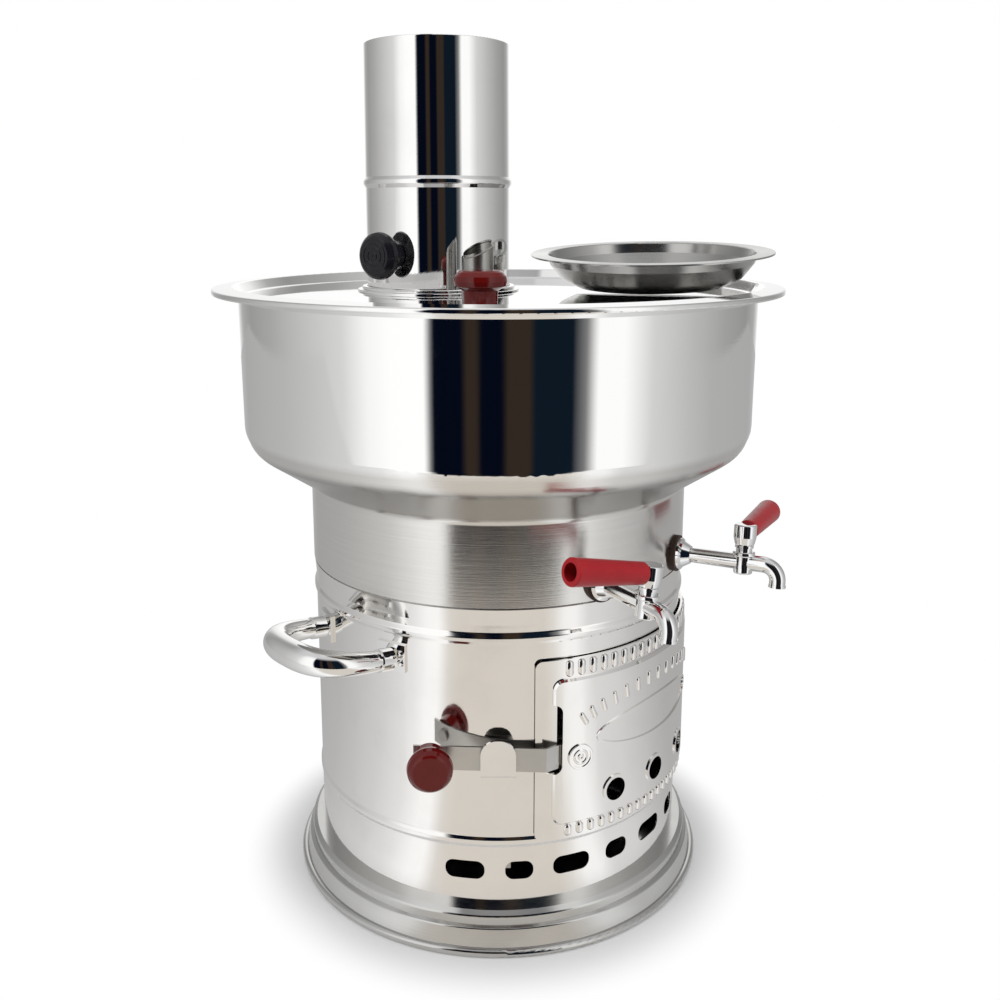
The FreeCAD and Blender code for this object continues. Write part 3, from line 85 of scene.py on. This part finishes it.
class Bench:
    """A node tree with short ways to add nodes to it."""

    def __init__(self, tree):
        self.tree = tree
        tree.nodes.clear()

    def add(self, kind, settings=None, values=None, out=0):
        node = self.tree.nodes.new(kind)
        for name, value in (settings or {}).items():
            if name == "stops":
                self._stops(node.color_ramp, value)
            else:
                setattr(node, name, value)
        for key, value in (values or {}).items():
            self.put(node.inputs[key], value)
        wanted = node.outputs[out] if node.outputs else None
        return Wire(self, wanted)

    def _stops(self, ramp, stops):
        while len(ramp.elements) < len(stops):
            ramp.elements.new(1.0)
        for element, (place, colour) in zip(ramp.elements, sorted(stops)):
            element.position = place
        for element, (place, colour) in zip(ramp.elements, sorted(stops)):
            level = (colour,) * 3 if isinstance(colour, (int, float)) else colour
            element.color = (*level, 1.0)

    def put(self, socket, value):
        if isinstance(value, Wire):
            self.tree.links.new(value.socket, socket)
        elif isinstance(value, (tuple, list)) and socket.type == "RGBA" and len(value) == 3:
            socket.default_value = (*value, 1.0)
        else:
            socket.default_value = value

    def place(self):
        """The three Object coordinates of the point being shaded."""
        here = self.add("ShaderNodeTexCoord", out="Object")
        split = self.add("ShaderNodeSeparateXYZ", values={0: here}).socket.node
        return here, [Wire(self, split.outputs[i]) for i in range(3)]

    def vector(self, x, y, z):
        return self.add("ShaderNodeCombineXYZ", values={0: x, 1: y, 2: z})

    def noise(self, vector, scale, detail=2.0, roughness=0.5):
        values = {"Vector": vector, "Scale": scale, "Detail": detail, "Roughness": roughness}
        return self.add("ShaderNodeTexNoise", values=values, out="Fac")

    def mixed(self, share, first, second):
        return self.add("ShaderNodeMix", {"data_type": "RGBA"},
                        {0: share, 6: first, 7: second}, out=2)

    def bumped(self, height, strength, distance, under=None):
        values = {"Height": height, "Strength": strength, "Distance": distance}
        if under is not None:
            values["Normal"] = under
        return self.add("ShaderNodeBump", values=values)

    def bare_surface(self, **values):
        named = {name.replace("_", " "): value for name, value in values.items()}
        return self.add("ShaderNodeBsdfPrincipled", values=named)

    def surface(self, **values):
        self.add("ShaderNodeOutputMaterial", values={"Surface": self.bare_surface(**values)})


def finish_named(name):
    material = bpy.data.materials.new(name)
    material.use_nodes = True
    return material, Bench(material.node_tree)


# Finishes

ACROSS = 0.25     # a quarter turn: reflections spread across the brushing
NECK_GLOSS = 0.19
# The cone's painted shade fades in over CONE_FOOT and out over CONE_TOP.
CONE_FOOT, CONE_TOP = (0.2490, 0.2520), (0.2700, 0.2760)      # heights of soft changes
BOWL_FOOT = (0.2785, 0.2835)

def ring_lines(bench, xyz, pitch, centre, wander=9.0):
    """Fine lines that run round the upright axis through centre, on walls and on plates.

    Wander is how quickly a line changes along its run.
    """
    x, y, z = xyz
    dx, dy = x - centre[0], y - centre[1]
    reach = (dx * dx + dy * dy).root()
    along = bench.vector(dx * wander, dy * wander, (z + reach * 0.97) / pitch)
    return bench.noise(along, 1.0, detail=3.0, roughness=0.6)


def steel(name, tone, gloss, line_pitch, line_depth, dent=0.0, smudge=0.06,
          centre=(0.0, 0.0), shade=0.0, stretch=0.0):
    """Stainless sheet: its turning lines, its slow waves and the smudges of handling.

    Stretch draws reflections out across the lines, as brushing round the body does.
    """
    material, bench = finish_named(name)
    here, xyz = bench.place()
    lines = ring_lines(bench, xyz, line_pitch, centre)
    smudges = bench.noise(here, 26.0, detail=4.0, roughness=0.62).from_to(0.42, 0.72)
    rough = gloss + smudge * smudges + (lines - 0.5) * (line_depth * 0.12)
    tint = bench.mixed(smudges * 0.5 + (lines - 0.5) * shade, tone,
                       tuple(0.93 * c for c in tone))
    normal = bench.bumped(lines, 0.16 * line_depth, 0.0004)
    if dent:
        waves = bench.noise(here, 13.0, detail=1.0)
        normal = bench.bumped(waves, dent, 0.004, under=normal)
    bench.surface(Base_Color=tint, Metallic=1.0, Roughness=rough, Normal=normal,
                  Anisotropic=stretch, Anisotropic_Rotation=ACROSS)
    return material


def moulded(name, tone, gloss, coat, mottle=0.15):
    """Moulded plastic or bakelite with a faint mottle, flow marks and a rubbed surface."""
    material, bench = finish_named(name)
    here, _ = bench.place()
    cloud = bench.noise(here, 140.0, detail=4.0)
    fine = bench.noise(here, 900.0, detail=2.0)
    tint = bench.mixed(cloud, tuple(c * (1 - mottle) for c in tone),
                       tuple(min(1.0, c * (1 + mottle)) for c in tone))
    rubbed = gloss + 0.10 * cloud.from_to(0.45, 0.75)
    normal = bench.bumped(fine + cloud * 0.7, 0.05, 0.0002)
    bench.surface(Base_Color=tint, Roughness=rubbed, Normal=normal, Coat_Weight=coat,
                  Coat_Roughness=0.08, Specular_IOR_Level=0.22)
    return material


POLISHED = (0.90, 0.895, 0.885)
BRUSHED = (0.78, 0.77, 0.75)

sheet_mirror = steel("mirror_sheet", POLISHED, 0.022, 0.0011, 0.08, dent=0.035, smudge=0.02)
tray_sheet = steel("tray_sheet", (0.60, 0.595, 0.58), 0.12, 0.0009, 0.4, dent=0.05, smudge=0.06,
                   stretch=0.6)
sheet_body = steel("polished_sheet", (0.90, 0.885, 0.865), 0.065, 0.0012, 0.15, dent=0.06,
                   smudge=0.05)
inner_sheet = steel("inner_sheet", (0.55, 0.54, 0.52), 0.38, 0.0008, 0.7, smudge=0.15)
plated_brass = steel("plated_brass", (0.88, 0.88, 0.88), 0.035, 0.002, 0.05, smudge=0.04)
dish_satin = steel("dish_satin", (0.50, 0.495, 0.48), 0.22, 0.0007, 0.6, shade=0.2,
                   centre=(0.0966, 0.0248), stretch=0.8)
vent_satin = steel("vent_satin", (0.40, 0.395, 0.375), 0.24, 0.0008, 0.4, smudge=0.1,
                   centre=(-0.0116, -0.052))
bar_satin = steel("bar_satin", (0.62, 0.61, 0.59), 0.30, 0.0007, 0.4, shade=0.3)
lever_red = moulded("lever_red", (0.36, 0.010, 0.016), 0.33, 0.15)
knob_red = moulded("knob_red", (0.105, 0.0045, 0.0035), 0.10, 0.30)
knob_black = moulded("knob_black", (0.009, 0.009, 0.012), 0.22, 0.2)
washer_brown = moulded("washer_brown", (0.055, 0.034, 0.026), 0.55, 0.0, mottle=0.3)


def tank_finish():
    """Mirror finish on the bowl, a brushed neck, and a darker cone whose darkness is painted
    shade, with soft changes.
    """
    material, bench = finish_named("tank_sheet")
    here, xyz = bench.place()
    bowl = xyz[2].from_to(*BOWL_FOOT)
    fine = ring_lines(bench, xyz, 0.0006, (0.0, 0.0))
    smudges = bench.noise(here, 24.0, detail=4.0, roughness=0.62).from_to(0.42, 0.72)
    waves = bench.noise(here, 12.0, detail=1.0)
    # The cone under the bowl gets a darker colour: painted shade for the shaded table it
    # reflects.
    cone_shade_share = xyz[2].from_to(*CONE_FOOT) * xyz[2].from_to(*CONE_TOP, 1.0, 0.0)
    neck = bench.mixed(fine, (0.72, 0.705, 0.68), (0.82, 0.805, 0.78))
    painted_cone_shade = bench.mixed(fine, (0.40, 0.39, 0.37), (0.50, 0.49, 0.47))
    brushed = bench.bare_surface(
        Base_Color=bench.mixed(cone_shade_share, neck, painted_cone_shade),
        Metallic=1.0, Roughness=NECK_GLOSS + (fine - 0.5) * 0.08 + smudges * 0.03,
        Normal=bench.bumped(waves, 0.03, 0.004, under=bench.bumped(fine, 0.12, 0.0004)),
        Anisotropic=0.8, Anisotropic_Rotation=ACROSS)
    mirror = bench.bare_surface(
        Base_Color=POLISHED, Metallic=1.0,
        Roughness=0.028 + smudges * 0.03 + (fine - 0.5) * 0.012,
        Normal=bench.bumped(waves, 0.035, 0.004, under=bench.bumped(fine, 0.02, 0.0004)))
    both = bench.add("ShaderNodeMixShader", values={0: bowl, 1: brushed, 2: mirror})
    bench.add("ShaderNodeOutputMaterial", values={"Surface": both})
    return material


tank_sheet = tank_finish()

FINISH_OF = {
    sheet_mirror: ["chimney", "chimney_collar", "top_plate", "filler_lid", "grip_left",
                   "grip_right", "latch_keeper", "brackets_left", "brackets_right",
                   "handle_rivets"],
    tray_sheet: ["base_tray"],
    sheet_body: ["firebox_shell", "door_panel", "hinge_shell_leaves", "hinge_door_leaves",
                 "hinge_pins", "latch_pivot"],
    tank_sheet: ["tank_shell"],
    bar_satin: ["latch_bar"],
    inner_sheet: ["grate", "grate_lugs", "flue_tube", "tank_floor", "latch_knob_screw",
                  "chimney_knob_screw", "filler_knob_screw"],
    plated_brass: ["tap_body_left", "tap_body_right", "tap_plug_left", "tap_plug_right",
                   "tap_nuts"],
    dish_satin: ["dish"],
    vent_satin: ["vent_tube"],
    lever_red: ["tap_lever_left", "tap_lever_right"],
    knob_red: ["latch_knob", "filler_knob"],
    knob_black: ["chimney_knob"],
    washer_brown: ["tap_gaskets"],
}
for finish, names in FINISH_OF.items():
    for node in names:
        mesh = NODES[node].data
        mesh.materials.clear()
        mesh.materials.append(finish)


# Pressed ribs, arc pips and turned rings, each a tree of Geometry Nodes

class Pattern:
    """A tree with named inputs for its sizes. It is run once and leaves a plain mesh."""

    def __init__(self, name, sizes):
        self.name, self.sizes = name, sizes
        self.tree = bpy.data.node_groups.new(name, "GeometryNodeTree")
        self.bench = Bench(self.tree)
        new_socket = self.tree.interface.new_socket
        new_socket(name="Mesh", in_out="OUTPUT", socket_type="NodeSocketGeometry")
        self.keys = {}
        for label, value in sizes.items():
            kind = "NodeSocketInt" if isinstance(value, int) else "NodeSocketFloat"
            self.keys[label] = new_socket(name=label, in_out="INPUT",
                                          socket_type=kind).identifier
        self.given = self.tree.nodes.new("NodeGroupInput")

    def size(self, label):
        return Wire(self.bench, self.given.outputs[label])

    def moved(self, shape, x, y, z):
        return self.bench.add("GeometryNodeSetPosition", values={
            "Geometry": shape, "Position": self.bench.vector(x, y, z)})

    def own_place(self):
        spot = self.bench.add("GeometryNodeInputPosition")
        split = self.bench.add("ShaderNodeSeparateXYZ", values={0: spot}).socket.node
        return [Wire(self.bench, split.outputs[i]) for i in range(3)]

    def index(self):
        return self.bench.add("GeometryNodeInputIndex")

    def pip(self):
        """A long domed lump that stands up, with its height along Y."""
        ball = self.bench.add("GeometryNodeMeshUVSphere",
                              values={"Segments": 20, "Rings": 12, "Radius": 1.0})
        x, y, z = self.own_place()
        wide = self.size("half width")
        side = self.bench.add("ShaderNodeMath", {"operation": "SIGN"}, {0: z})
        return self.moved(ball, x * wide, y * self.size("rise"),
                          z * wide + side * (self.size("half length") - wide))

    def row(self, angle, height, lean):
        """The pip at each place of a row round the upright axis."""
        line = self.bench.add("GeometryNodeMeshLine", {"mode": "OFFSET"},
                              {"Count": self.size("count")})
        reach = self.size("reach")
        spots = self.moved(line, reach * angle.sine(), reach * (angle + math.pi * 1.5).sine(),
                           height)
        return self.bench.add("GeometryNodeInstanceOnPoints", values={
            "Points": spots, "Instance": self.pip(),
            "Rotation": self.bench.vector(0.0, lean, angle)})

    def made(self, shape, finish, body, slot, place=None):
        bench = self.bench
        smooth = bench.add("GeometryNodeSetShadeSmooth", values={0: shape})
        real = bench.add("GeometryNodeRealizeInstances", values={0: smooth})
        done = bench.add("GeometryNodeSetMaterial", values={0: real, "Material": finish})
        bench.add("NodeGroupOutput", values={0: done})
        piece = bpy.data.objects.new(self.name, bpy.data.meshes.new(self.name))
        bpy.context.scene.collection.objects.link(piece)
        modifier = piece.modifiers.new("pattern", "NODES")
        modifier.node_group = self.tree
        for label, value in self.sizes.items():
            modifier[self.keys[label]] = value
        ready = piece.evaluated_get(bpy.context.evaluated_depsgraph_get())
        mesh = bpy.data.meshes.new_from_object(ready)
        piece.modifiers.remove(modifier)
        if place is not None:
            mesh.transform(place)
        piece.data = mesh
        mesh.name = self.name
        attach(piece, body)
        return piece


def body_with(node):
    """The body that carries a CAD node, as the record names it."""
    rows = frame["record"]["behaviour"]["bodies"]
    return next(name for name, nodes in rows.items() if node in nodes)


FACE = 0.1172     # outside of the door plate
FIELD = 0.1192    # outside of its raised field


def door_ribs(name, low, high):
    ribs = Pattern(name, {
        "count": 19, "first": math.radians(19.5), "step": math.radians(3.55),
        "reach": FACE - 0.0001, "height": (low + high) / 2, "half width": 0.0024,
        "rise": 0.0016, "half length": (high - low) / 2})
    angle = ribs.size("first") + ribs.index() * ribs.size("step")
    ribs.made(ribs.row(angle, ribs.size("height"), 0.0), sheet_body, DOOR, "polished")


def door_pips():
    """Plain domed pips on an arc over the oval."""
    arc = Pattern("door_pips", {
        "count": 15, "spread": math.radians(59.0), "middle": math.radians(51.6),
        "half angle": math.radians(32.8), "height": 0.1218, "arc rise": 0.0246,
        "reach": FIELD - 0.0002, "half width": 0.0017, "rise": 0.0012,
        "half length": 0.0044})
    share = arc.index() / (arc.size("count") - 1) * 2.0 - 1.0
    turn = share * arc.size("spread")
    across, up = turn.sine(), (turn + math.pi / 2).sine()
    angle = arc.size("middle") + arc.size("half angle") * across
    lean = (arc.size("arc rise") * across).turn_of(
        arc.size("half angle") * arc.size("reach") * up)
    arc.made(arc.row(angle, arc.size("height") + arc.size("arc rise") * up, lean),
             sheet_body, DOOR, "polished")


def knob_face(name, node, finish, slot, middle, out, radius, rings=3, depth=0.0007):
    """The turned rings on the flat of a knob or a rivet head."""
    rings = Pattern(name, {"radius": radius, "rings": rings, "depth": depth,
                           "sunk": 0.0003})
    sheet = rings.bench.add("GeometryNodeMeshGrid", values={
        "Size X": 1.0, "Size Y": 1.0, "Vertices X": 65, "Vertices Y": 61})
    x, y, _ = rings.own_place()
    turn, along = (x + 0.5) * math.tau, (y + 0.5) * 1.2     # the last 0.2 is the back
    front = along.from_to(0.0, 1.0, smooth=False)
    share = front - along.from_to(1.0, 1.2, smooth=False)
    wave = (front * rings.size("rings") * math.tau + math.pi / 2).sine() * -0.5 + 0.5
    height = rings.size("depth") * wave * along.from_to(1.0, 1.02, 1.0, 0.0, smooth=False)
    reach = rings.size("radius") * share
    disc = rings.moved(sheet, reach * (turn + math.pi / 2).sine(), reach * turn.sine(),
                       height - rings.size("sunk"))
    closed = rings.bench.add("GeometryNodeMergeByDistance",
                             values={"Geometry": disc, "Distance": 0.00002})
    place = Matrix.Translation(middle) @ Vector(out).to_track_quat("Z", "Y").to_matrix().to_4x4()
    rings.made(closed, finish, body_with(node), slot, place)


DOOR = body_with("door_panel")
PIVOT = math.radians(22.5)        # the latch rivet's place round the body
PIVOT_FACE = 0.1199
door_ribs("door_ribs_high", 0.1596, 0.1693)
door_ribs("door_ribs_low", 0.0641, 0.0713)
door_pips()
knob_face("chimney_knob_rings", "chimney_knob", knob_black, "knob_black",
          (-0.07303, -0.02353, 0.3835), (-0.5592, -0.829, 0.0), 0.0096)
knob_face("pivot_rings", "latch_pivot", sheet_body, "polished",
          (PIVOT_FACE * math.sin(PIVOT), -PIVOT_FACE * math.cos(PIVOT), 0.1123),
          (math.sin(PIVOT), -math.cos(PIVOT), 0), 0.0052, rings=2, depth=0.0005)


# The room: white panels at both sides, a dark room behind the camera, a white table

def by_bearing(stops):
    """Ramp stops from degrees, where 0 is towards the camera and 90 to its right."""
    return [(degrees / 360.0 + 0.5, level) for degrees, level in stops]


def room_light():
    world = bpy.data.worlds.new("studio")
    bpy.context.scene.world = world
    world.use_nodes = True
    bench = Bench(world.node_tree)
    ray = bench.add("ShaderNodeTexCoord", out="Generated")
    split = bench.add("ShaderNodeSeparateXYZ", values={0: ray}).socket.node
    x, y, z = (Wire(bench, split.outputs[i]) for i in range(3))
    bearing = x.turn_of(y * -1.0) / math.tau + 0.5
    dark, brown, dusk = (0.0014, 0.0028, 0.0085), (0.030, 0.021, 0.015), (0.004, 0.009, 0.017)
    stops = [(-180, 1.0), (-162, 0.80), (-147, 0.38), (-133, 0.30), (-112, 0.37),
             (-90, 0.50), (-68, 0.64), (-56, 0.90), (-46, 0.98), (-31, 1.0), (-27.5, dark),
             (-15, dark), (-13, brown), (-9, brown), (-7, dark), (2, dark),
             (4, brown), (13, brown), (15, dusk), (31, dusk), (37, 0.20), (42, 0.96),
             (54, 0.96), (68, 0.62), (90, 0.46), (112, 0.34), (133, 0.28), (147, 0.38),
             (162, 0.80), (180, 1.0)]
    walls = bench.add("ShaderNodeValToRGB", {"stops": by_bearing(stops)}, {"Fac": bearing})
    ceiling = z.from_to(0.70, 0.95)
    seen = bench.mixed(ceiling, walls, (0.60, 0.60, 0.61))
    shown = bench.add("ShaderNodeBackground", values={"Color": seen, "Strength": 1.13})
    plain = bench.add("ShaderNodeBackground", values={"Color": (1, 1, 1), "Strength": 1.0})
    camera_ray = bench.add("ShaderNodeLightPath", out="Is Camera Ray")
    both = bench.add("ShaderNodeMixShader", values={0: camera_ray, 1: shown, 2: plain})
    bench.add("ShaderNodeOutputWorld", values={"Surface": both})


SHADOW_REACH = (0.128, 0.168)     # from the tray's edge to where the table is plain white

def table():
    front, back, side = -0.62, 2.4, 2.4
    sheet = bpy.data.meshes.new("table")
    corners = [(-side, front, 0), (side, front, 0), (side, back, 0), (-side, back, 0)]
    sheet.from_pydata(corners, [], [(0, 1, 2, 3)])
    top = bpy.data.objects.new("table", sheet)
    bpy.context.scene.collection.objects.link(top)
    material, bench = finish_named("white_table")
    _, (x, y, _) = bench.place()
    away = (x * x + y * y).root()
    clear = away.from_to(*SHADOW_REACH, start=0.12, end=1.0)
    bearing = x.turn_of(y * -1.0) / math.tau + 0.5
    warm_painted_light = (0.72, 0.675, 0.615)
    # What glossy rays see of the table is painted light: a glow by bearing, bright to the front
    # left and right, warm straight in front and dimmer behind.
    painted_floor_light = bench.add("ShaderNodeValToRGB", {"stops": by_bearing([
        (-180, 0.62), (-140, 0.42), (-100, 0.50), (-85, 0.56), (-64, 0.68), (-48, 0.84),
        (-38, 1.04), (-32, 1.06), (-26, (0.76, 0.73, 0.69)), (-20, warm_painted_light), (24, warm_painted_light),
        (30, (0.80, 0.78, 0.74)), (36, 1.0), (42, 1.0), (50, 0.76), (64, 0.70), (85, 0.54),
        (100, 0.46), (140, 0.42), (180, 0.62)])}, {"Fac": bearing})
    # Near the tray the table is a grey diffuse sheet that takes the real shadow; the grey
    # itself, fading to white glow over the shadow reach, is painted shade.
    lit = bench.add("ShaderNodeBsdfDiffuse", values={"Color": (0.70, 0.70, 0.70)})
    white = bench.add("ShaderNodeEmission", values={"Color": (1, 1, 1)})
    painted_floor_glow = bench.add("ShaderNodeEmission", values={"Color": painted_floor_light})
    mirrored = bench.add("ShaderNodeMixShader", values={0: clear, 1: lit, 2: painted_floor_glow})
    seen = bench.add("ShaderNodeMixShader", values={0: clear, 1: lit, 2: white})
    path = bench.add("ShaderNodeLightPath").socket.node
    glossy = bench.add("ShaderNodeMixShader", values={
        0: Wire(bench, path.outputs["Is Glossy Ray"]), 1: lit, 2: mirrored})
    shown = bench.add("ShaderNodeMixShader", values={
        0: Wire(bench, path.outputs["Is Camera Ray"]), 1: glossy, 2: seen})
    bench.add("ShaderNodeOutputMaterial", values={"Surface": shown})
    sheet.materials.append(material)


def lamp(name, place, aim, size, power):
    light = bpy.data.lights.new(name, "AREA")
    light.shape, light.size, light.energy = "DISK", size, power
    stand = bpy.data.objects.new(name, light)
    stand.location = place
    stand.rotation_euler = (Vector(aim) - Vector(place)).to_track_quat("-Z", "Y").to_euler()
    stand.visible_glossy = False
    bpy.context.scene.collection.objects.link(stand)


def photographer():
    cam = bpy.data.cameras.new("camera")
    cam.sensor_width, cam.lens = 36.0, 38.69
    cam.shift_x, cam.shift_y = 0.0018, -0.0778
    stand = bpy.data.objects.new("camera", cam)
    stand.location = (0.0, -0.6604, 0.4092)
    stand.rotation_euler = (math.radians(90 - 11.08), 0.0, 0.0)
    bpy.context.scene.collection.objects.link(stand)
    bpy.context.scene.camera = stand


room_light()
table()
lamp("overhead", (0.0, -0.1, 1.5), (0, 0, 0.2), 1.4, 9.0)
lamp("left_panel", (-1.1, -0.9, 0.8), (0, 0, 0.25), 0.9, 7.0)
lamp("right_panel", (1.1, -0.7, 0.8), (0, 0, 0.25), 0.9, 6.0)
photographer()
bpy.context.scene.view_settings.view_transform = "Standard"
